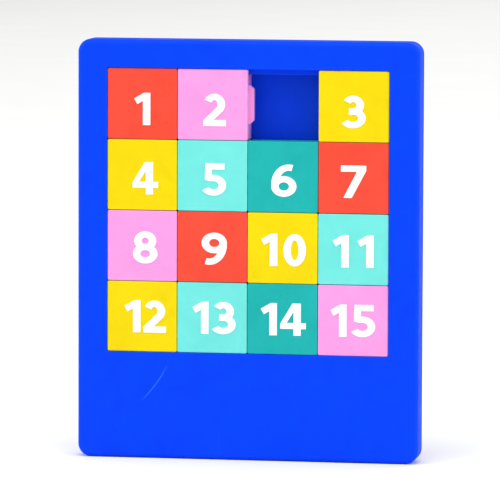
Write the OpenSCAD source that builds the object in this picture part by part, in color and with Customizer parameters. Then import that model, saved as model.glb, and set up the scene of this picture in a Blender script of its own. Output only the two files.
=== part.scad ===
// Sliding tile puzzle: fifteen numbered tiles and one empty cell in a frame with a deep chin.
// It stands upright: X is the width, Z the height, and the tile faces look towards -Y.
// The origin is in the middle of the surface that its bottom edge stands on.

/* [Tile grid] */
// Distance from one tile to the next
pitch = 16.5; // [16:0.5:20]
// Gap between neighbouring tiles
gap = 0.12; // [0.1:0.02:0.3]
// Thickness of a tile
tile_t = 5.6; // [5.4:0.1:5.7]
// Depth of the tile faces below the front of the frame
face_drop = 0.2; // [0.2:0.05:0.4]

/* [Frame] */
// Width of the frame beside the tiles
margin = 7; // [7:0.5:10]
// Height of the frame above the tiles
top_margin = 6.6; // [6.4:0.1:10]
// Height of the chin below the tiles
chin = 24.9; // [20:0.1:36]
// Depth of the front frame without its cover
frame_t = 6.2; // [6.2:0.1:7]
// Radius of the outer corners
corner_r = 3; // [2.5:0.5:5]
// Radius along the front edge
edge_r = 1.2; // [0.6:0.1:1.5]
// Thickness of the frame's walls
wall = 1.6; // [1.4:0.1:1.7]

/* [Back cover] */
// Thickness of the back cover
cover_t = 1.8; // [1.4:0.1:2.4]
// Radius along the cover's back edge
cover_edge_r = 0.5; // [0.4:0.1:1]
// Diameter of the pins that hold the cover
pin_d = 2.4; // [2:0.1:2.4]
// Length of the pins
pin_l = 3.6; // [2.5:0.1:3.8]

/* [Tongues and grooves] */
// Length of a tile's tongue along its side
tongue_l = 9; // [6:0.5:11]
// How far a tongue stands out from the side
tongue_out = 1.2; // [1:0.05:1.3]
// Thickness of a tongue
tongue_t = 1.4; // [1:0.1:1.4]
// Depth of a groove into the side
groove_in = 1.4; // [1.4:0.05:1.6]
// Free height of a tongue in its groove
groove_play = 0.3; // [0.2:0.05:0.4]
// Thickness of the plastic in front of a groove
lip_t = 1.7; // [1.4:0.1:1.8]

/* [Numerals] */
// Height of a numeral
numeral_h = 7.5; // [6:0.1:8]
// Distance from one printed numeral to the next across, a little under the tile pitch
print_pitch = 16.25; // [16.1:0.05:16.5]
// Distance from one row of printed numerals to the next
print_row_pitch = 16.1; // [16:0.05:16.5]
// Thickness of the print
print_t = 0.12; // [0.06:0.02:0.16]

/* [Hidden] */
// The tiles as they lie, row by row from the top; 0 is the empty cell
LAYOUT = [[1, 2, 0, 3], [4, 5, 6, 7], [8, 9, 10, 11], [12, 13, 14, 15]];
ROWS = 4;
LAST = ROWS - 1;
TILES = ROWS * ROWS - 1;

FRAME_BLUE = "#1049ff";
PRINT_WHITE = "#fdfdfb";
RED = "#ff5040";
PINK = "#ffa5eb";
YELLOW = "#fce410";
AQUA = "#78f0e8";
TEAL = "#26bcb8";
// Tile colours from number 1 to number 15
TILE_COLOURS = [RED, PINK, YELLOW, YELLOW, AQUA, TEAL, RED, PINK, RED, YELLOW, AQUA, YELLOW, AQUA, TEAL, PINK];

well = ROWS * pitch;
frame_w = well + 2 * margin;
frame_h = well + chin + top_margin;
total_t = frame_t + cover_t;
// Heights in the lying position, where Z is the depth and the front is up
front_z = total_t / 2;
back_z = -front_z;
cover_z = back_z + cover_t;
face_z = front_z - face_drop;
groove_t = tongue_t + groove_play;
groove_z = face_z - lip_t - groove_t;
tongue_z = groove_z + groove_play / 2;

tile_w = pitch - gap;
tile_corner_r = 0.35;
tile_edge_r = 0.2;
tongue_cut = 0.9;
tongue_root = 0.5;
// Thin walls round the cores in the back of a tile
core_wall = 1.3;
core_rib = 1.2;
core_top = groove_z + groove_t;

// The rail along the top and left walls of the well, which the tiles' grooves ride on
rail_out = tongue_out;
// The wall that holds a groove is thicker by the groove's depth
groove_wall = groove_in + 1.2;
hollow_top = front_z - wall;
rib_t = 1.2;
rib_x = 12.8;
boss_r = 2.2;
pin_inset = 3.3;
pin_play = 0.1;
socket_in = pin_l + 0.3;
PIN_PLACES = [
    for (side = [-1, 1])
        each [[side * (frame_w / 2 - pin_inset), pin_inset], [side * rib_x, chin / 2],
            [side * (frame_w / 2 - pin_inset), chin + well / 2],
            [side * (frame_w / 2 - pin_inset), frame_h - pin_inset]]];
// How far a cutter runs past a face
past = 1;
ROUND = 48;

// Lying position to standing position: the front turns to -Y and the height to +Z
module stand() {
    rotate([90, 0, 0]) children();
}

// Half section of a plate's rim, with its outer edges rounded at the front and the back
module rim_section(reach, t, front_r, back_r) {
    difference() {
        square([reach, t]);
        edge_cut(reach, t, front_r, 1);
        edge_cut(reach, 0, back_r, -1);
    }
}

module edge_cut(reach, level, r, side) {
    if (r > 0)
        translate([reach - r, level - side * r]) difference() {
            mirror([0, side < 0 ? 1 : 0]) square(r + past);
            circle(r, $fn = ROUND);
        }
}

// Plate centred on X and Y, with round corners and rounded outer edges
module rounded_plate(w, h, t, r, front_r, back_r) {
    for (x = [-1, 1])
        for (y = [-1, 1])
            translate([x * (w / 2 - r), y * (h / 2 - r), 0])
                rotate_extrude($fn = ROUND) rim_section(r, t, front_r, back_r);
    for (side = [0, 180]) rotate(side) {
        plate_side(w, h, t, r, front_r, back_r);
        rotate(90) plate_side(h, w, t, r, front_r, back_r);
    }
    translate([r - w / 2, r - h / 2, 0]) cube([w - 2 * r, h - 2 * r, t]);
}

// The straight rim at +X of a plate that is w wide and h high
module plate_side(w, h, t, r, front_r, back_r) {
    translate([w / 2 - r, h / 2 - r, 0]) rotate([90, 0, 0])
        linear_extrude(h - 2 * r) rim_section(r, t, front_r, back_r);
}

// Box from its lowest corner to its highest corner
module span(low, high) {
    translate(low) cube(high - low);
}

/* Frame */

module front_frame() {
    color(FRAME_BLUE) stand() difference() {
        union() {
            difference() {
                translate([0, frame_h / 2, cover_z])
                    rounded_plate(frame_w, frame_h, frame_t, corner_r, edge_r, 0);
                span([-well / 2, chin, cover_z - past], [well / 2, chin + well, front_z + past]);
                frame_hollows();
            }
            well_rails();
            chin_ribs();
            for (place = PIN_PLACES)
                translate([place[0], place[1], cover_z]) cylinder(r = boss_r, h = hollow_top - cover_z, $fn = ROUND);
        }
        frame_grooves();
        for (place = PIN_PLACES)
            translate([place[0], place[1], cover_z - past])
                cylinder(d = pin_d + pin_play, h = socket_in + past, $fn = ROUND);
    }
}

// The moulding is cored out from the back: a channel on three sides and the inside of the chin
module frame_hollows() {
    side = frame_w / 2 - wall;
    top = frame_h - wall;
    low = cover_z - past;
    span([-side, wall, low], [side, chin - groove_wall, hollow_top]);
    span([-side, chin, low], [-well / 2 - wall, top, hollow_top]);
    span([well / 2 + groove_wall, chin, low], [side, top, hollow_top]);
    span([-side, chin + well + wall, low], [side, top, hollow_top]);
}

module chin_ribs() {
    for (x = [-rib_x, rib_x])
        span([x - rib_t / 2, wall / 2, cover_z], [x + rib_t / 2, chin - wall, hollow_top]);
}

module well_rails() {
    z = tongue_z;
    span([-well / 2 - wall / 2, chin, z], [-well / 2 + rail_out, chin + well, z + tongue_t]);
    span([-well / 2, chin + well - rail_out, z], [well / 2, chin + well + wall / 2, z + tongue_t]);
}

module frame_grooves() {
    z = groove_z;
    span([well / 2 - past, chin, z], [well / 2 + groove_in, chin + well, z + groove_t]);
    span([-well / 2, chin - groove_in, z], [well / 2, chin + past, z + groove_t]);
}

/* Back cover */

module back_cover() {
    color(FRAME_BLUE) stand() {
        translate([0, frame_h / 2, back_z])
            rounded_plate(frame_w, frame_h, cover_t, corner_r, 0, cover_edge_r);
        for (place = PIN_PLACES)
            translate([place[0], place[1], cover_z - cover_t / 2])
                cylinder(d = pin_d, h = cover_t / 2 + pin_l, $fn = ROUND);
    }
}

/* Tiles */

// Column and row of a tile in the layout, counted from the upper left
function cell(number) = [for (row = [0:LAST]) for (col = [0:LAST]) if (LAYOUT[row][col] == number) [col, row]][0];
function cell_x(col) = (col + 0.5) * pitch - well / 2;
function cell_y(row) = chin + well - (row + 0.5) * pitch;

module tile(number) {
    at = cell(number);
    color(TILE_COLOURS[number - 1]) stand() translate([cell_x(at[0]), cell_y(at[1]), 0]) {
        difference() {
            translate([0, 0, face_z - tile_t])
                rounded_plate(tile_w, tile_w, tile_t, tile_corner_r, tile_edge_r, 0);
            tile_grooves();
            tile_cores();
        }
        tongue();
        rotate(-90) tongue();
    }
}

// Tongue on the right side of a tile
module tongue() {
    translate([tile_w / 2, 0, tongue_z]) linear_extrude(tongue_t)
        polygon([
            [-tongue_root, -tongue_l / 2], [0, -tongue_l / 2], [tongue_out, tongue_cut - tongue_l / 2],
            [tongue_out, tongue_l / 2 - tongue_cut], [0, tongue_l / 2], [-tongue_root, tongue_l / 2]]);
}

// Grooves along the whole left and top sides
module tile_grooves() {
    edge = tile_w / 2 + past;
    top = groove_z + groove_t;
    span([-edge, -edge, groove_z], [groove_in - tile_w / 2, edge, top]);
    span([-edge, tile_w / 2 - groove_in, groove_z], [edge, edge, top]);
}

// Four cores in the back of a tile, with a cross of ribs between them
module tile_cores() {
    near = groove_in + core_wall - tile_w / 2;
    far = tile_w / 2 - core_wall;
    size = (far - near - core_rib) / 2;
    for (x = [near, far - size])
        for (y = [-far, -near - size])
            span([x, y, face_z - tile_t - past], [x + size, y + size, core_top]);
}

/* Numerals: outlines for a height of 7.5, with the lower left corner at the origin */

DIGIT_H = 7.5;
// Stroke widths across the upright and the level strokes
UPRIGHT = 1.75;
LEVEL = 1.45;
// Widths of the digits 0 to 9, and the free space that each keeps on its left
DIGIT_W = [5.3, 3.8, 5.3, 5.5, 6, 5.5, 5.9, 5.9, 5.8, 5.9];
DIGIT_LEFT = [1.4, 2, 0.7, 0.9, 0.8, 1.2, 1, 1, 1, 1];
// A 1 that stands alone keeps this free space on its right, so it sits left of the middle
LONE_ONE_RIGHT = 1.5;
OVAL_STEPS = 48;

// Points of an oval from one angle to another
function oval_points(at, rx, ry, from = 0, to = 360 * (1 - 1 / OVAL_STEPS)) =
    let (steps = round(abs(to - from) / 360 * OVAL_STEPS))
    [for (i = [0:steps]) let (a = from + (to - from) * i / steps) at + [rx * cos(a), ry * sin(a)]];

// Closed oval stroke
module bowl(at, rx, ry) {
    difference() {
        polygon(oval_points(at, rx, ry));
        polygon(oval_points(at, rx - UPRIGHT, ry - LEVEL));
    }
}

// Open oval stroke from one angle to another
module curve(at, rx, ry, from, to) {
    outer = oval_points(at, rx, ry, from, to);
    inner = oval_points(at, rx - UPRIGHT, ry - LEVEL, to, from);
    polygon(concat(outer, inner));
}

module digit_0() {
    bowl([2.65, 3.75], 2.65, 3.75);
}

module digit_1() {
    polygon([[2.05, 0], [3.8, 0], [3.8, 7.5], [2.35, 7.5], [0, 6.15], [0.75, 4.85], [2.05, 5.6]]);
}

module digit_2() {
    curve([2.6, 5], 2.5, 2.5, -40, 155);
    polygon([[0, 0], [5.3, 0], [5.3, LEVEL], [2.4, LEVEL], [4.55, 3.45], [3.15, 4.4], [0, 1.3]]);
}

module digit_3() {
    curve([2.6, 5.3], 2.5, 2.2, -90, 150);
    curve([2.5, 2.3], 3, 2.3, -150, 90);
    translate([1.6, 3.1]) square([1, LEVEL + 0.05]);
}

module digit_4() {
    difference() {
        polygon([[2.85, 7.5], [4.8, 7.5], [4.8, 2.95], [6, 2.95], [6, 1.55], [4.8, 1.55], [4.8, 0],
            [3.1, 0], [3.1, 1.55], [0, 1.55], [0, 2.75]]);
        polygon([[3.1, 2.95], [3.1, 5.5], [1.5, 2.95]]);
    }
}

module digit_5() {
    outer = oval_points([2.5, 2.4], 3, 2.4, -150, 97);
    stem = [[2.15, 6.05], [5.1, 6.05], [5.1, 7.5], [0.65, 7.5], [0.5, 3.6]];
    inner = oval_points([2.5, 2.4], 3 - UPRIGHT, 2.4 - LEVEL, 112, -150);
    polygon(concat(outer, stem, inner));
}

module digit_6() {
    bowl([2.95, 2.4], 2.95, 2.4);
    curve([4.1, 2.9], 4.1, 4.6, 75, 180);
}

module digit_7() {
    polygon([[0, 7.5], [5.9, 7.5], [5.9, 6.3], [2.55, 0], [0.6, 0], [3.75, 6.05], [0, 6.05]]);
}

module digit_8() {
    bowl([2.9, 5.3], 2.6, 2.2);
    bowl([2.9, 2.3], 2.9, 2.3);
}

module digit_9() {
    translate([DIGIT_W[9], DIGIT_H]) rotate(180) digit_6();
}

module digit(value) {
    if (value == 0) digit_0();
    if (value == 1) digit_1();
    if (value == 2) digit_2();
    if (value == 3) digit_3();
    if (value == 4) digit_4();
    if (value == 5) digit_5();
    if (value == 6) digit_6();
    if (value == 7) digit_7();
    if (value == 8) digit_8();
    if (value == 9) digit_9();
}

// A numeral of one or two digits, centred at the origin
module numeral_outline(number) {
    tens = floor(number / 10);
    ones = number % 10;
    lead = tens > 0 ? DIGIT_W[tens] + DIGIT_LEFT[ones] : 0;
    free = number == 1 ? LONE_ONE_RIGHT : 0;
    scale(numeral_h / DIGIT_H) translate([-(lead + DIGIT_W[ones] + free) / 2, -DIGIT_H / 2]) {
        if (tens > 0) digit(tens);
        translate([lead, 0]) digit(ones);
    }
}

// The numerals are printed as one block that lines up with the tiles at the lower right
module numeral(number) {
    at = cell(number);
    x = cell_x(LAST) - (LAST - at[0]) * print_pitch;
    y = cell_y(LAST) + (LAST - at[1]) * print_row_pitch;
    color(PRINT_WHITE) stand() translate([x, y, face_z])
        linear_extrude(print_t) numeral_outline(number);
}

function node_name(kind, number) = str(kind, number < 10 ? "_0" : "_", number);

front_frame();
back_cover();
for (number = [1:TILES]) tile(number);
for (number = [1:TILES]) numeral(number);
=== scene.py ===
import math

import bmesh
import bpy
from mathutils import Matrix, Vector


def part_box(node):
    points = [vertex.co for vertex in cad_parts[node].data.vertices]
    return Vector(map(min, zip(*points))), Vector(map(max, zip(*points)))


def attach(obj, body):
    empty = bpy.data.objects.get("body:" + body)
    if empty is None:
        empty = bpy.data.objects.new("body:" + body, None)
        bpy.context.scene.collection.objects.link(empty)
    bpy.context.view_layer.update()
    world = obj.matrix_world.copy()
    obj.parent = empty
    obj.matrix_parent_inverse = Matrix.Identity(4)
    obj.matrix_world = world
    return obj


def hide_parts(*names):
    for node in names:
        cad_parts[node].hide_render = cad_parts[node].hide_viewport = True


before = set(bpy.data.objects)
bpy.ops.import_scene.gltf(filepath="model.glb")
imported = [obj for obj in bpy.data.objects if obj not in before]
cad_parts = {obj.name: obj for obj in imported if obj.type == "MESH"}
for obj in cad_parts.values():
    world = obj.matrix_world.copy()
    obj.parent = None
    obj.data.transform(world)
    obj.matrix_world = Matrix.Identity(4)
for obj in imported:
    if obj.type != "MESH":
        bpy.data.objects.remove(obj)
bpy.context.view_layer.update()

# The looks of a sliding tile puzzle: a blue frame with a deep chin, fifteen coloured tiles that
# ride on tongues and grooves, and white printed numerals. The puzzle stands upright: X is its width,
# Z its height, and the tile faces look towards -Y.

MM = 0.001
TILES = 15
GRID = 4

# ---------------------------------------------------------------- sizes, from the CAD nodes' boxes

FRAME_LOW, FRAME_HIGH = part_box("front_frame")
COVER_LOW, COVER_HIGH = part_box("back_cover")
FIRST_LOW, FIRST_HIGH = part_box("tile_04")
NEXT_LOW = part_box("tile_05")[0]

TONGUE_OUT = 1.2 * MM
TONGUE_LENGTH = 9 * MM
TONGUE_THICK = 1.4 * MM
TONGUE_CUT = 0.9 * MM
GROOVE_IN = 1.4 * MM
GROOVE_PLAY = 0.3 * MM
LIP = 1.7 * MM
TILE_WALL = 1.3 * MM
TILE_RIB = 1.2 * MM
TILE_CORNER_R = 0.35 * MM
TILE_EDGE_R = 0.2 * MM

PITCH = NEXT_LOW.x - FIRST_LOW.x
TILE_W = FIRST_HIGH.x - FIRST_LOW.x - TONGUE_OUT
GAP = PITCH - TILE_W
FACE_Y = FIRST_LOW.y
TILE_BACK_Y = FIRST_HIGH.y
GROOVE_Y = FACE_Y + LIP
GROOVE_THICK = TONGUE_THICK + GROOVE_PLAY
TONGUE_Y = GROOVE_Y + GROOVE_PLAY / 2

WELL = GRID * PITCH
WELL_LEFT = FIRST_LOW.x - GAP / 2
WELL_TOP = FIRST_HIGH.z + GAP / 2 + PITCH
WELL_RIGHT = WELL_LEFT + WELL
WELL_BOTTOM = WELL_TOP - WELL
WALL = 1.6 * MM
GROOVE_WALL = GROOVE_IN + 1.2 * MM
CORNER_R = 3 * MM
FRONT_EDGE_R = 1.2 * MM
COVER_EDGE_R = 0.5 * MM
SEAM_EASE = 0.3 * MM
WINDOW_EDGE_R = 0.3 * MM
SEAM_Y = FRAME_HIGH.y
HOLLOW_Y = FRAME_LOW.y + WALL
RIB_X = 12.8 * MM
RIB = 1.2 * MM
PIN_INSET = 3.3 * MM
PIN_R = 1.2 * MM
PIN_TIP_R = 0.3 * MM
SOCKET_R = 1.25 * MM
SOCKET_DEPTH = 3.9 * MM
BOSS_R = 2.2 * MM
# Marks on the cover's outside: shrink dimples, and the gate's round seat with its nib
DIMPLE_R, DIMPLE_DEPTH = 1.7 * MM, 0.06 * MM
GATE_R, GATE_DEPTH = 2.4 * MM, 0.35 * MM
NIB_R, NIB_DEPTH = 0.6 * MM, 0.12 * MM
# The radius that a polished mould leaves on sharp edges, and how far a print sinks into its tile
FRAME_SOFT_R = 0.12 * MM
SOFT_R = 0.1 * MM
PRINT_SINK = 0.07 * MM
# How far a cutter runs past a face, and how deep a joined shape is sunk into its neighbour
PAST = 1 * MM
SUNK = 0.5 * MM

PIN_PLACES = [
    (side * x, z)
    for side in (-1, 1)
    for x, z in (
        (FRAME_HIGH.x - PIN_INSET, PIN_INSET),
        (RIB_X, WELL_BOTTOM / 2),
        (FRAME_HIGH.x - PIN_INSET, WELL_BOTTOM + WELL / 2),
        (FRAME_HIGH.x - PIN_INSET, FRAME_HIGH.z - PIN_INSET),
    )
]

# ---------------------------------------------------------------- modelling tools


def only(piece):
    """Selects one object and makes it the active one."""
    bpy.ops.object.select_all(action="DESELECT")
    piece.select_set(True)
    bpy.context.view_layer.objects.active = piece


def edit(piece, kind="EDGE"):
    """Opens a piece in edit mode with nothing selected."""
    only(piece)
    bpy.ops.object.mode_set(mode="EDIT")
    bpy.ops.mesh.select_mode(type=kind)
    bpy.ops.mesh.select_all(action="DESELECT")


def done():
    bpy.ops.object.mode_set(mode="OBJECT")


def pick_edges(piece, wanted):
    """Selects the edges whose two ends pass the test."""
    mesh = bmesh.from_edit_mesh(piece.data)
    for edge in mesh.edges:
        edge.select_set(wanted(edge.verts[0].co, edge.verts[1].co))
    mesh.select_flush_mode()
    bmesh.update_edit_mesh(piece.data)


def pick_faces(piece, wanted):
    """Selects the faces whose centre and normal pass the test."""
    mesh = bmesh.from_edit_mesh(piece.data)
    for face in mesh.faces:
        face.select_set(wanted(face.calc_center_median(), face.normal))
    bmesh.update_edit_mesh(piece.data)


def near(a, b, tolerance=0.02 * MM):
    return abs(a - b) < tolerance


def block(name, low, high):
    """A box from its lowest corner to its highest, the start of a moulding or a cutter."""
    low, high = Vector(low), Vector(high)
    bpy.ops.mesh.primitive_cube_add(size=1, location=(low + high) / 2, scale=high - low)
    piece = bpy.context.active_object
    piece.name = name
    bpy.ops.object.transform_apply(location=True, rotation=True, scale=True)
    return piece


def post(name, x, z, radius, y0, y1, sides=32):
    """A round post along Y."""
    middle = (x, (y0 + y1) / 2, z)
    turned = (math.pi / 2, 0, 0)
    bpy.ops.mesh.primitive_cylinder_add(
        vertices=sides, radius=radius, depth=y1 - y0, location=middle, rotation=turned
    )
    piece = bpy.context.active_object
    piece.name = name
    bpy.ops.object.transform_apply(location=True, rotation=True, scale=True)
    return piece


def round_edges(piece, wanted, radius, segments):
    """Rounds the edges that pass the test."""
    edit(piece)
    pick_edges(piece, wanted)
    bpy.ops.mesh.bevel(offset=radius, segments=segments, affect="EDGES", profile=0.5)
    done()


def finish_with(piece, kind, **settings):
    """Adds a modifier and applies it."""
    only(piece)
    modifier = piece.modifiers.new(kind.title(), kind)
    for key, value in settings.items():
        setattr(modifier, key, value)
    bpy.ops.object.modifier_apply(modifier=modifier.name)


def combine(piece, others, operation):
    for other in others:
        finish_with(piece, "BOOLEAN", operation=operation, solver="EXACT", object=other)
        bpy.data.objects.remove(other)


def cut(piece, *cutters):
    combine(piece, cutters, "DIFFERENCE")


def fuse(piece, *parts):
    combine(piece, parts, "UNION")


def clean(piece):
    """Merges doubles, drops flat edges inside flat faces and turns the faces outwards."""
    edit(piece, "VERT")
    bpy.ops.mesh.select_all(action="SELECT")
    bpy.ops.mesh.remove_doubles(threshold=0.002 * MM)
    bpy.ops.mesh.dissolve_limited(angle_limit=math.radians(0.5))
    bpy.ops.mesh.normals_make_consistent(inside=False)
    done()


def soften(piece, width, segments=2, angle=38):
    """A small radius on every sharp edge, as a polished mould leaves it."""
    finish_with(
        piece,
        "BEVEL",
        width=width,
        segments=segments,
        limit_method="ANGLE",
        angle_limit=math.radians(angle),
        use_clamp_overlap=True,
        harden_normals=False,
    )


def smooth(piece, angle=40):
    """Smooth shading on the curves, while the flat faces stay flat."""
    only(piece)
    bpy.ops.object.shade_smooth_by_angle(angle=math.radians(angle))
    finish_with(piece, "WEIGHTED_NORMAL", weight=100, keep_sharp=True)


# ---------------------------------------------------------------- the frame


def rounded_slab(name, low, high, edge_y, edge_r, edge_steps):
    """A plate with round corners. The outline at edge_y is rounded over, and the one at the seam is
    eased, so that the joint between the two mouldings shows as a fine line."""
    slab = block(name, low, high)
    across = lambda a, b: near(a.x, b.x) and near(a.z, b.z)
    round_edges(slab, across, CORNER_R, 12)
    outline = lambda a, b: near(a.y, edge_y) and near(b.y, edge_y)
    round_edges(slab, outline, edge_r, edge_steps)
    seam = lambda a, b: near(a.y, SEAM_Y) and near(b.y, SEAM_Y)
    round_edges(slab, seam, SEAM_EASE, 3)
    return slab


def model_frame():
    piece = rounded_slab("frame_moulding", FRAME_LOW, FRAME_HIGH, FRAME_LOW.y, FRONT_EDGE_R, 6)
    front, back = FRAME_LOW.y - PAST, SEAM_Y + PAST
    cut(piece, block("window", (WELL_LEFT, front, WELL_BOTTOM), (WELL_RIGHT, back, WELL_TOP)))

    def window_edge(a, b):
        inside = lambda p: (
            near(p.y, FRAME_LOW.y)
            and WELL_LEFT - SUNK < p.x < WELL_RIGHT + SUNK
            and WELL_BOTTOM - SUNK < p.z < WELL_TOP + SUNK
        )
        level = near(a.x, b.x) or near(a.z, b.z)
        return inside(a) and inside(b) and level

    round_edges(piece, window_edge, WINDOW_EDGE_R, 3)
    side, top = FRAME_HIGH.x - WALL, FRAME_HIGH.z - WALL
    chin_top = WELL_BOTTOM - GROOVE_WALL
    cells = [(-side, -RIB_X - RIB / 2), (RIB / 2 - RIB_X, RIB_X - RIB / 2), (RIB_X + RIB / 2, side)]
    for x0, x1 in cells:
        cut(piece, block("chin_core", (x0, HOLLOW_Y, WALL), (x1, back, chin_top)))
    left, right = WELL_LEFT - WALL, WELL_RIGHT + GROOVE_WALL
    cut(
        piece,
        block("left_core", (-side, HOLLOW_Y, WELL_BOTTOM), (left, back, top)),
        block("right_core", (right, HOLLOW_Y, WELL_BOTTOM), (side, back, top)),
        block("top_core", (left - SUNK, HOLLOW_Y, WELL_TOP + WALL), (right + SUNK, back, top)),
    )
    for x, z in PIN_PLACES:
        fuse(piece, post("boss", x, z, BOSS_R, HOLLOW_Y - SUNK, SEAM_Y))
    groove_y1 = GROOVE_Y + GROOVE_THICK
    cut(
        piece,
        block(
            "right_groove",
            (WELL_RIGHT - PAST, GROOVE_Y, WELL_BOTTOM),
            (WELL_RIGHT + GROOVE_IN, groove_y1, WELL_TOP),
        ),
        block(
            "low_groove",
            (WELL_LEFT, GROOVE_Y, WELL_BOTTOM - GROOVE_IN),
            (WELL_RIGHT, groove_y1, WELL_BOTTOM + PAST),
        ),
    )
    rail_y1 = TONGUE_Y + TONGUE_THICK
    fuse(
        piece,
        block(
            "left_rail",
            (WELL_LEFT - SUNK, TONGUE_Y, WELL_BOTTOM),
            (WELL_LEFT + TONGUE_OUT, rail_y1, WELL_TOP),
        ),
        block(
            "top_rail",
            (WELL_LEFT, TONGUE_Y, WELL_TOP - TONGUE_OUT),
            (WELL_RIGHT, rail_y1, WELL_TOP + SUNK),
        ),
    )
    for x, z in PIN_PLACES:
        cut(piece, post("socket", x, z, SOCKET_R, SEAM_Y - SOCKET_DEPTH, back))
    clean(piece)
    soften(piece, FRAME_SOFT_R)
    smooth(piece)
    return piece


def model_cover():
    low = Vector((COVER_LOW.x, SEAM_Y, COVER_LOW.z))
    outside = COVER_HIGH.y
    piece = rounded_slab("cover_moulding", low, COVER_HIGH, outside, COVER_EDGE_R, 4)
    for x, z in PIN_PLACES:
        pin = post("pin", x, z, PIN_R, COVER_LOW.y, SEAM_Y + SUNK)
        tip = lambda a, b: near(a.y, COVER_LOW.y) and near(b.y, COVER_LOW.y)
        round_edges(pin, tip, PIN_TIP_R, 2)
        fuse(piece, pin)
        # The plastic shrinks into a faint dimple behind each pin
        cut(piece, post("dimple", x, z, DIMPLE_R, outside - DIMPLE_DEPTH, outside + PAST))
    # The gate, where the plastic entered the mould: a shallow round seat with a nib in it
    middle = (COVER_LOW.z + COVER_HIGH.z) / 2
    cut(piece, post("gate_seat", 0, middle, GATE_R, outside - GATE_DEPTH, outside + PAST))
    fuse(piece, post("gate_nib", 0, middle, NIB_R, outside - SUNK, outside - NIB_DEPTH))
    clean(piece)
    soften(piece, SOFT_R)
    smooth(piece)
    return piece


# ---------------------------------------------------------------- the tiles


def tongue(x, z, rightward):
    """A tongue with slanted ends, which starts inside the tile and stands out of its side."""
    y0, y1 = TONGUE_Y, TONGUE_Y + TONGUE_THICK
    half = TONGUE_LENGTH / 2
    if rightward:
        piece = block("tongue", (x - SUNK, y0, z - half), (x + TONGUE_OUT, y1, z + half))
        tip = lambda a, b: near(a.x, x + TONGUE_OUT) and near(b.x, a.x) and near(a.z, b.z)
    else:
        piece = block("tongue", (x - half, y0, z - TONGUE_OUT), (x + half, y1, z + SUNK))
        tip = lambda a, b: near(a.z, z - TONGUE_OUT) and near(b.z, a.z) and near(a.x, b.x)
    round_edges(piece, tip, TONGUE_CUT, 1)
    return piece


def model_tile():
    """Tile 4's moulding at its own place; the other tiles are copies of it."""
    left, top = FIRST_LOW.x, FIRST_HIGH.z
    right, bottom = left + TILE_W, top - TILE_W
    piece = block("tile_moulding_04", (left, FACE_Y, bottom), (right, TILE_BACK_Y, top))
    across = lambda a, b: near(a.x, b.x) and near(a.z, b.z)
    round_edges(piece, across, TILE_CORNER_R, 5)
    outline = lambda a, b: near(a.y, FACE_Y) and near(b.y, FACE_Y)
    round_edges(piece, outline, TILE_EDGE_R, 4)
    groove_y1 = GROOVE_Y + GROOVE_THICK
    low, high = (left - PAST, GROOVE_Y, bottom - PAST), (right + PAST, groove_y1, top + PAST)
    cut(
        piece,
        block("left_groove", low, (left + GROOVE_IN, groove_y1, high[2])),
        block("top_groove", (low[0], GROOVE_Y, top - GROOVE_IN), high),
    )
    fuse(
        piece,
        tongue(right, (bottom + top) / 2, True),
        tongue((left + right) / 2, bottom, False),
    )
    # Four cores from the back leave a cross of ribs
    x0, z1 = left + GROOVE_IN + TILE_WALL, top - GROOVE_IN - TILE_WALL
    size = (right - TILE_WALL - x0 - TILE_RIB) / 2
    for x in (x0, x0 + size + TILE_RIB):
        for z in (z1 - size, z1 - 2 * size - TILE_RIB):
            cut(piece, block("core", (x, GROOVE_Y, z), (x + size, TILE_BACK_Y + PAST, z + size)))
    clean(piece)
    soften(piece, SOFT_R)
    smooth(piece)
    return piece


def copy_to(piece, name, shift):
    """A copy with its own mesh, moved inside the mesh."""
    only(piece)
    bpy.ops.object.duplicate(linked=False)
    twin = bpy.context.active_object
    twin.name = name
    edit(twin, "VERT")
    bpy.ops.mesh.select_all(action="SELECT")
    bpy.ops.transform.translate(value=shift)
    done()
    return twin


def model_print(number):
    """The printed numeral: the CAD outline, with its back face sunk a little into the tile."""
    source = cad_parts[f"numeral_{number:02d}"]
    only(source)
    bpy.ops.object.duplicate(linked=False)
    piece = bpy.context.active_object
    piece.name = f"printed_numeral_{number:02d}"
    for key in list(piece.keys()):
        del piece[key]
    piece.parent = None
    clean(piece)
    edit(piece, "FACE")
    pick_faces(piece, lambda centre, normal: normal.y > 0.99)
    bpy.ops.transform.translate(value=(0, PRINT_SINK, 0))
    done()
    smooth(piece, 30)
    return piece


# ---------------------------------------------------------------- materials


def linear(code):
    """An sRGB hex colour as linear RGBA."""
    parts = [int(code[i:i + 2], 16) / 255 for i in (1, 3, 5)]
    return [c / 12.92 if c <= 0.04045 else ((c + 0.055) / 1.055) ** 2.4 for c in parts] + [1]


def add(tree, kind, inputs=(), **settings):
    """Adds a node with its settings; an input is a value, or the output that it is linked to."""
    node = tree.nodes.new(kind)
    for key, value in settings.items():
        setattr(node, key, value)
    for key, value in dict(inputs).items():
        if isinstance(value, bpy.types.NodeSocket):
            tree.links.new(value, node.inputs[key])
        else:
            node.inputs[key].default_value = value
    return node


def per_mm(size):
    """A texture scale whose features are about that many millimetres wide."""
    return 1 / (size * MM)


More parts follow.
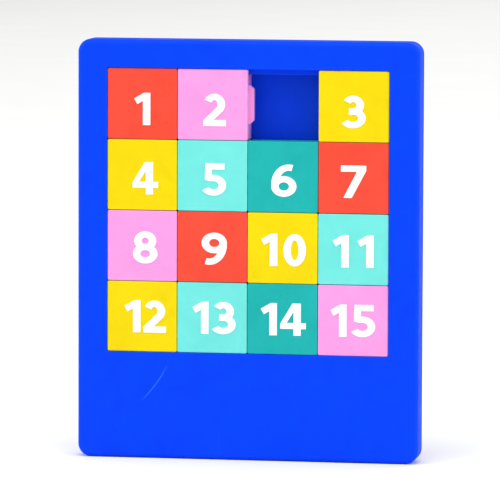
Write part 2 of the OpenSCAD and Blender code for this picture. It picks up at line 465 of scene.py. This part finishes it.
def moulded_polystyrene(
    name, colour, shade, worn_and_rim_highlight, roughness, mirror=0.09, peel=0.012, scuffs=0.0, hairline=False
):
    """Coloured polystyrene from a mould: a satin gloss that waves a little, because the plastic
    shrank as it cooled, a fine peel, faint flow marks in the colour, and paler edges, partly rubbed
    by handling and partly a painted highlight where the rounded rims catch the light. The specular
    level, mirror, is far below the usual 0.5, so that the colours stay deep in a white studio."""
    material = bpy.data.materials.new(name)
    material.use_nodes = True
    tree = material.node_tree
    shader = tree.nodes["Principled BSDF"]
    place = add(tree, "ShaderNodeTexCoord").outputs["Object"]

    # Flow marks: cloudy bands of a slightly deeper colour, 7 mm wide
    flow = add(
        tree,
        "ShaderNodeTexNoise",
        {"Vector": place, "Scale": per_mm(7), "Detail": 3.0, "Roughness": 0.55, "Distortion": 0.8},
    )
    clouds = add(
        tree,
        "ShaderNodeMapRange",
        {"Value": flow.outputs["Fac"], "From Min": 0.35, "From Max": 0.7, "To Min": 0.0, "To Max": 1.0},
    )
    body = add(
        tree,
        "ShaderNodeMix",
        {"Factor": clouds.outputs["Result"], 6: linear(colour), 7: linear(shade)},
        data_type="RGBA",
    )

    # Paler edges, partly rubbed wear and partly a painted highlight on the rounded rims: within
    # 0.3 mm of an outer edge, where a rounded-off normal leaves the true one, broken up by 0.8 mm grain
    grain = add(tree, "ShaderNodeTexNoise", {"Vector": place, "Scale": per_mm(0.8), "Detail": 2.0})
    rounded = add(tree, "ShaderNodeBevel", {"Radius": 0.3 * MM}, samples=4)
    true = add(tree, "ShaderNodeNewGeometry")
    alike = add(
        tree,
        "ShaderNodeVectorMath",
        {0: rounded.outputs["Normal"], 1: true.outputs["Normal"]},
        operation="DOT_PRODUCT",
    )
    rim = add(
        tree,
        "ShaderNodeMapRange",
        {"Value": alike.outputs["Value"], "From Min": 0.99, "From Max": 0.85, "To Min": 0.0, "To Max": 0.5},
    )
    rubbed_and_highlit = add(
        tree,
        "ShaderNodeMath",
        {0: rim.outputs["Result"], 1: grain.outputs["Fac"]},
        operation="MULTIPLY",
        use_clamp=True,
    )
    edged = add(
        tree,
        "ShaderNodeMix",
        {"Factor": rubbed_and_highlit.outputs["Value"], 6: body.outputs[2], 7: linear(worn_and_rim_highlight)},
        data_type="RGBA",
    )
    coat = edged.outputs[2]

    # Gloss: finger marks, 5 mm wide, make it duller in patches
    marks = add(
        tree,
        "ShaderNodeTexNoise",
        {"Vector": place, "Scale": per_mm(5), "Detail": 4.0, "Roughness": 0.6},
    )
    gloss = add(
        tree,
        "ShaderNodeMapRange",
        {
            "Value": marks.outputs["Fac"],
            "From Min": 0.3,
            "From Max": 0.7,
            "To Min": roughness - 0.05,
            "To Max": roughness + 0.07,
        },
    )
    dullness = gloss.outputs["Result"]

    # Height: shrink waves 14 mm long and an orange peel of 0.7 mm, coarser than the real
    # 0.2 mm peel, so that it shows
    waves = add(tree, "ShaderNodeTexNoise", {"Vector": place, "Scale": per_mm(14), "Detail": 1.0})
    skin = add(tree, "ShaderNodeTexNoise", {"Vector": place, "Scale": per_mm(0.7), "Detail": 2.0})
    wave_bump = add(
        tree,
        "ShaderNodeBump",
        {"Height": waves.outputs["Fac"], "Strength": 0.35, "Distance": 0.25 * MM},
    )
    peel_bump = add(
        tree,
        "ShaderNodeBump",
        {
            "Height": skin.outputs["Fac"],
            "Strength": 0.3,
            "Distance": peel * MM,
            "Normal": wave_bump.outputs["Normal"],
        },
    )
    relief = peel_bump.outputs["Normal"]

    if scuffs:
        # Scuffs from a pocket: thin slanting threads of a stretched noise, 0.25 mm wide
        slant = add(
            tree,
            "ShaderNodeMapping",
            {
                "Vector": place,
                "Rotation": (0, math.radians(34), 0),
                "Scale": (per_mm(0.5), per_mm(30), per_mm(16)),
            },
        )
        threads = add(
            tree,
            "ShaderNodeTexNoise",
            {"Vector": slant.outputs["Vector"], "Scale": 1.0, "Detail": 1.0},
        )
        thin = add(
            tree,
            "ShaderNodeMapRange",
            {
                "Value": threads.outputs["Fac"],
                "From Min": 0.72,
                "From Max": 0.78,
                "To Min": 0.0,
                "To Max": scuffs,
            },
        )
        scuffed = add(
            tree,
            "ShaderNodeMix",
            {"Factor": thin.outputs["Result"], 6: coat, 7: linear(worn_and_rim_highlight)},
            data_type="RGBA",
        )
        coat = scuffed.outputs[2]
    if hairline:
        coat = add_hairline(tree, place, coat, worn_and_rim_highlight)

    tree.links.new(coat, shader.inputs["Base Color"])
    tree.links.new(dullness, shader.inputs["Roughness"])
    tree.links.new(relief, shader.inputs["Normal"])
    shader.inputs["IOR"].default_value = 1.59
    shader.inputs["Specular IOR Level"].default_value = mirror
    shader.inputs["Subsurface Weight"].default_value = 0.06
    shader.inputs["Subsurface Radius"].default_value = (1.0, 0.8, 0.7)
    shader.inputs["Subsurface Scale"].default_value = 0.4 * MM
    return material


# One bowed hairline scratch on the chin: its two ends across and up, how far it bows, and its width
SCRATCH_TOP = (-18.4 * MM, 22.5 * MM)
SCRATCH_FOOT = (-25 * MM, 13.3 * MM)
SCRATCH_BOW = 0.5 * MM
SCRATCH_WIDTH = 0.18 * MM


def add_hairline(tree, place, coat, worn_and_rim_highlight):
    """Mixes a pale hairline scratch into a colour."""
    dx, dz = SCRATCH_TOP[0] - SCRATCH_FOOT[0], SCRATCH_TOP[1] - SCRATCH_FOOT[1]
    length = math.hypot(dx, dz)
    turn = math.atan2(dz, dx)
    # In the scratch's own place, X runs along it from 0 at the foot and Z across it
    own = add(
        tree,
        "ShaderNodeMapping",
        {
            "Vector": place,
            "Location": (SCRATCH_FOOT[0], 0, SCRATCH_FOOT[1]),
            "Rotation": (0, -turn, 0),
        },
        vector_type="TEXTURE",
    )
    split = add(tree, "ShaderNodeSeparateXYZ", {"Vector": own.outputs["Vector"]})
    along = add(
        tree,
        "ShaderNodeMapRange",
        {"Value": split.outputs["X"], "From Min": 0.0, "From Max": length, "To Min": -1.0, "To Max": 1.0},
        clamp=False,
    )
    squared = add(tree, "ShaderNodeMath", {0: along.outputs["Result"], 1: 2.0}, operation="POWER")
    inside = add(tree, "ShaderNodeMath", {0: 1.0, 1: squared.outputs["Value"]}, operation="SUBTRACT")
    bowed = add(
        tree,
        "ShaderNodeMath",
        {0: inside.outputs["Value"], 1: SCRATCH_BOW, 2: split.outputs["Z"]},
        operation="MULTIPLY_ADD",
    )
    apart = add(tree, "ShaderNodeMath", {0: bowed.outputs["Value"]}, operation="ABSOLUTE")
    line = add(
        tree,
        "ShaderNodeMapRange",
        {
            "Value": apart.outputs["Value"],
            "From Min": 0.0,
            "From Max": SCRATCH_WIDTH,
            "To Min": 0.7,
            "To Max": 0.0,
        },
    )
    faded = add(
        tree,
        "ShaderNodeMath",
        {0: line.outputs["Result"], 1: inside.outputs["Value"]},
        operation="MULTIPLY",
        use_clamp=True,
    )
    mixed = add(
        tree,
        "ShaderNodeMix",
        {"Factor": faded.outputs["Value"], 6: coat, 7: linear(worn_and_rim_highlight)},
        data_type="RGBA",
    )
    return mixed.outputs[2]


def pad_printed_ink(name, colour, shade):
    """White pad-printing ink: an even, slightly chalky film with a 0.5 mm stipple where the pad lifted."""
    material = bpy.data.materials.new(name)
    material.use_nodes = True
    tree = material.node_tree
    shader = tree.nodes["Principled BSDF"]
    place = add(tree, "ShaderNodeTexCoord").outputs["Object"]
    stipple = add(
        tree,
        "ShaderNodeTexNoise",
        {"Vector": place, "Scale": per_mm(0.5), "Detail": 3.0, "Roughness": 0.6},
    )
    film = add(
        tree,
        "ShaderNodeMix",
        {"Factor": stipple.outputs["Fac"], 6: linear(colour), 7: linear(shade)},
        data_type="RGBA",
    )
    dull = add(
        tree,
        "ShaderNodeMapRange",
        {"Value": stipple.outputs["Fac"], "From Min": 0.3, "From Max": 0.7, "To Min": 0.38, "To Max": 0.52},
    )
    bump = add(
        tree,
        "ShaderNodeBump",
        {"Height": stipple.outputs["Fac"], "Strength": 0.25, "Distance": 0.02 * MM},
    )
    tree.links.new(film.outputs[2], shader.inputs["Base Color"])
    tree.links.new(dull.outputs["Result"], shader.inputs["Roughness"])
    tree.links.new(bump.outputs["Normal"], shader.inputs["Normal"])
    shader.inputs["IOR"].default_value = 1.5
    return material


def dress(piece, material, body, slot, *nodes):
    """Gives a finished piece its material and its body, and hides the CAD nodes it stands for; the slot is
    not used.
    """
    piece.data.materials.clear()
    piece.data.materials.append(material)
    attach(piece, body)
    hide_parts(*nodes)


# ---------------------------------------------------------------- the puzzle

# Colour, deeper flow-mark colour, and paler colour (wear, and painted rim highlight) of each plastic
PLASTICS = {
    "red": ("#ed4e3a", "#e64834", "#f78a7c"),
    "pink": ("#ee9cdc", "#ea95d7", "#f6bfea"),
    "yellow": ("#ecd300", "#e6cc00", "#f5e888"),
    "aqua": ("#72e0d8", "#6adad2", "#aaf0ea"),
    "teal": ("#1cafab", "#17a8a4", "#5fd0cc"),
}
TILE_PLASTIC = (
    "red", "pink", "yellow", "yellow", "aqua", "teal", "red", "pink",
    "red", "yellow", "aqua", "yellow", "aqua", "teal", "pink",
)

frame_blue = moulded_polystyrene(
    "moulded_polystyrene_blue",
    "#0042ee",
    "#003ee7",
    # Paler edge colour: wear, and a painted highlight on the frame's lit rims
    "#3f86ff",
    0.55,
    mirror=0.05,
    scuffs=0.05,
    hairline=True,
)
# The cover's outside comes from a spark-eroded mould: rougher, with a grain that dulls its gloss
cover_blue = moulded_polystyrene(
    "spark_textured_polystyrene_blue",
    "#003fe8",
    "#003bdf",
    "#3f86ff",
    0.57,
    mirror=0.06,
    peel=0.06,
    scuffs=0.08,
)
tile_plastics = {
    key: moulded_polystyrene(f"moulded_polystyrene_{key}", *colours, 0.3)
    for key, colours in PLASTICS.items()
}
numeral_ink = pad_printed_ink("pad_printed_white_ink", "#ffffff", "#f6f6f2")

dress(model_frame(), frame_blue, "frame", "frame_blue", "front_frame")
dress(model_cover(), cover_blue, "frame", "frame_blue", "back_cover")

master = model_tile()
for number in range(1, TILES + 1):
    node = f"tile_{number:02d}"
    low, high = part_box(node)
    shift = (low.x - FIRST_LOW.x, 0, high.z - FIRST_HIGH.z)
    piece = copy_to(master, f"tile_moulding_{number:02d}", shift) if number != 4 else master
    plastic = TILE_PLASTIC[number - 1]
    dress(piece, tile_plastics[plastic], f"slider_{number:02d}", f"tile_{plastic}", node)
    dress(
        model_print(number),
        numeral_ink,
        f"slider_{number:02d}",
        "print_white",
        f"numeral_{number:02d}",
    )

# ---------------------------------------------------------------- floor, light and camera

CENTRE = Vector((0, 0, FRAME_HIGH.z / 2))


def soft_light(name, place, size, power):
    """A large soft panel of light that faces the puzzle."""
    data = bpy.data.lights.new(name, "AREA")
    data.shape = "DISK"
    data.size = size
    data.energy = power
    lamp = bpy.data.objects.new(name, data)
    bpy.context.scene.collection.objects.link(lamp)
    lamp.location = place
    lamp.visible_camera = False
    lamp.rotation_euler = (CENTRE - Vector(place)).to_track_quat("-Z", "Y").to_euler()
    return lamp


bpy.ops.object.select_all(action="DESELECT")
bpy.ops.mesh.primitive_plane_add(size=8, location=(0, 0, 0))
floor = bpy.context.active_object
floor.name = "floor"
paper = bpy.data.materials.new("matt_white_paper")
paper.use_nodes = True
paper_shader = paper.node_tree.nodes["Principled BSDF"]
paper_place = add(paper.node_tree, "ShaderNodeTexCoord").outputs["Object"]
paper_cloud = add(
    paper.node_tree, "ShaderNodeTexNoise", {"Vector": paper_place, "Scale": per_mm(40), "Detail": 3.0}
)
paper_tone = add(
    paper.node_tree,
    "ShaderNodeMix",
    {"Factor": paper_cloud.outputs["Fac"], 6: linear("#f0f0ef"), 7: linear("#ebebea")},
    data_type="RGBA",
)
paper.node_tree.links.new(paper_tone.outputs[2], paper_shader.inputs["Base Color"])
paper_shader.inputs["Roughness"].default_value = 0.85
paper_shader.inputs["Specular IOR Level"].default_value = 0.1
floor.data.materials.append(paper)

soft_light("key_panel", (-1.5, -1.9, 2.0), 1.5, 10)
soft_light("table_panel", (0.1, -1.0, 2.4), 1.6, 32)
soft_light("left_panel", (-2.3, -0.4, 0.9), 1.5, 24)
soft_light("right_panel", (2.3, -0.3, 0.8), 1.5, 26)
# The panel behind only lights: its mirror image would veil the side walls
back_panel = soft_light("back_panel", (0.8, 2.4, 1.5), 1.8, 18)
back_panel.visible_glossy = False

world = bpy.data.worlds.new("studio")
world.use_nodes = True
world.node_tree.nodes["Background"].inputs["Color"].default_value = linear("#f4f4f4")
world.node_tree.nodes["Background"].inputs["Strength"].default_value = 0.65
bpy.context.scene.world = world

# The camera stands a little to the right of the puzzle and above it, and fills the picture with it
AZIMUTH = math.radians(9.5)
ELEVATION = math.radians(5.4)
ROLL = math.radians(0.2)
DISTANCE = 1.2
SENSOR = 36
VIEW_HEIGHT = 0.116

lens_data = bpy.data.cameras.new("camera")
lens_data.sensor_width = SENSOR
lens_data.lens = SENSOR * DISTANCE / VIEW_HEIGHT
camera = bpy.data.objects.new("camera", lens_data)
bpy.context.scene.collection.objects.link(camera)
away = Vector((
    math.sin(AZIMUTH) * math.cos(ELEVATION),
    -math.cos(AZIMUTH) * math.cos(ELEVATION),
    math.sin(ELEVATION),
))
camera.location = CENTRE + DISTANCE * away
camera.rotation_euler = (-away).to_track_quat("-Z", "Y").to_euler()
camera.rotation_euler.rotate_axis("Z", ROLL)
bpy.context.scene.camera = camera
bpy.context.scene.view_settings.view_transform = "Standard"
